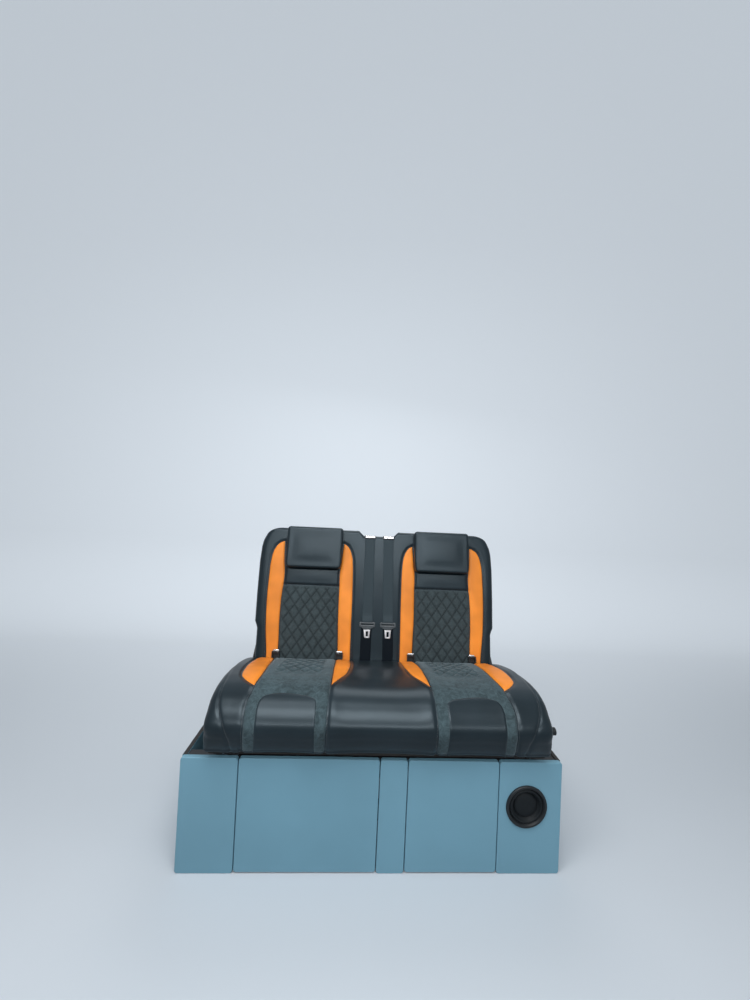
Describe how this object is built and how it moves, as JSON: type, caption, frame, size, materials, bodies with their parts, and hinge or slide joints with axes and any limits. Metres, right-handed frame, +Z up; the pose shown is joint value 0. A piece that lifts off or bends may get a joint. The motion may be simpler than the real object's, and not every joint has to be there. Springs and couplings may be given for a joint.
{
  "type": "camper van double bench seat on its seat base",
  "caption": "Camper van double bench seat that slides forward and folds flat to a bed, on a seat base with cupboard doors.",
  "frame": {"origin": "on the floor plane at the centre of the four floor bolts, under the middle of the seat", "axes": "+X to the right as the seat is looked at from the front, along the width; +Y towards the back of the seat; +Z up"},
  "size_m": [1.25, 0.8051, 1.0885],
  "materials": {
    "laminate": "pale blue-grey matt laminate on lightweight ply",
    "plywood": "dark stained poplar plywood",
    "black_steel": "black powder coat",
    "zinc_steel": "bright zinc plated",
    "bright_steel": "polished",
    "black_plastic": "fine grained moulding",
    "black_leather": "satin, fine grain",
    "orange_leather": "satin, fine grain",
    "suede": "brushed microfibre suede, diamond quilted",
    "stitching": "twisted thread",
    "webbing": "woven seat-belt webbing",
    "board_cloth": "black carpet covered board",
    "speaker_paper": "matt black cone"
  },
  "bodies": {
    "base": {"front_panel_left": "laminate", "front_panel_right": "laminate", "centre_stile": "laminate", "side_panel_left": "laminate", "side_panel_right": "laminate", "back_panel": "laminate", "partition": "plywood", "posts": "plywood", "hinge_arms": "zinc_steel", "door_catches": "black_plastic", "side_frame_left": "black_steel", "side_frame_right": "black_steel", "foot_plates": "black_steel", "cross_tubes": "black_steel", "fixed_runners": "zinc_steel", "bed_rests": "black_steel", "speaker_basket": "black_plastic", "speaker_cone": "speaker_paper"},
    "left_door": {"left_door": "laminate", "left_door_hinge_cups": "zinc_steel"},
    "right_door": {"right_door": "laminate", "right_door_hinge_cups": "zinc_steel"},
    "carriage": {"sliding_rails": "black_steel", "carriage_bars": "black_steel", "pan_pads": "black_plastic"},
    "seat": {"seat_pan": "plywood", "tilt_lugs": "zinc_steel", "seat_cushion": "black_leather", "release_knob": "black_plastic", "anchor_rail": "black_steel", "anchor_guides": "black_plastic", "anchor_rods": "bright_steel", "seat_hinge_left": "black_steel", "seat_hinge_right": "black_steel"},
    "backrest": {"back_hinge_left": "black_steel", "back_hinge_right": "black_steel", "back_board": "board_cloth", "back_cushion": "black_leather", "headrest_left": "black_leather", "headrest_right": "black_leather", "headrest_straps": "black_leather", "belt_left": "webbing", "belt_right": "webbing", "belt_reels": "black_plastic", "belt_guides": "bright_steel", "belt_tongues": "bright_steel"}
  },
  "joints": [
    {"name": "seat_slide", "type": "slide", "parent": "base", "child": "carriage", "axis": [0, -1, 0], "range_m": [0, 0.5]},
    {"name": "seat_tilt", "type": "hinge", "parent": "carriage", "child": "seat", "pos_m": [0, -0.315, 0.3755], "axis": [1, 0, 0], "range_deg": [0, 11.8]},
    {"name": "back_fold", "type": "hinge", "parent": "seat", "child": "backrest", "pos_m": [0, 0.17712, 0.43817], "axis": [-1, 0, 0], "range_deg": [0, 88.1]},
    {"name": "left_door_swing", "type": "hinge", "parent": "base", "child": "left_door", "pos_m": [-0.456, -0.33, 0.184], "axis": [0, 0, -1], "range_deg": [0, 100]},
    {"name": "right_door_swing", "type": "hinge", "parent": "base", "child": "right_door", "pos_m": [0.094, -0.33, 0.184], "axis": [0, 0, -1], "range_deg": [0, 100]}
  ],
  "couplings": [
    {"joint": "seat_tilt", "follows": "seat_slide", "rad_per_m": 0.4118},
    {"joint": "back_fold", "follows": "seat_slide", "rad_per_m": 3.075}
  ]
}
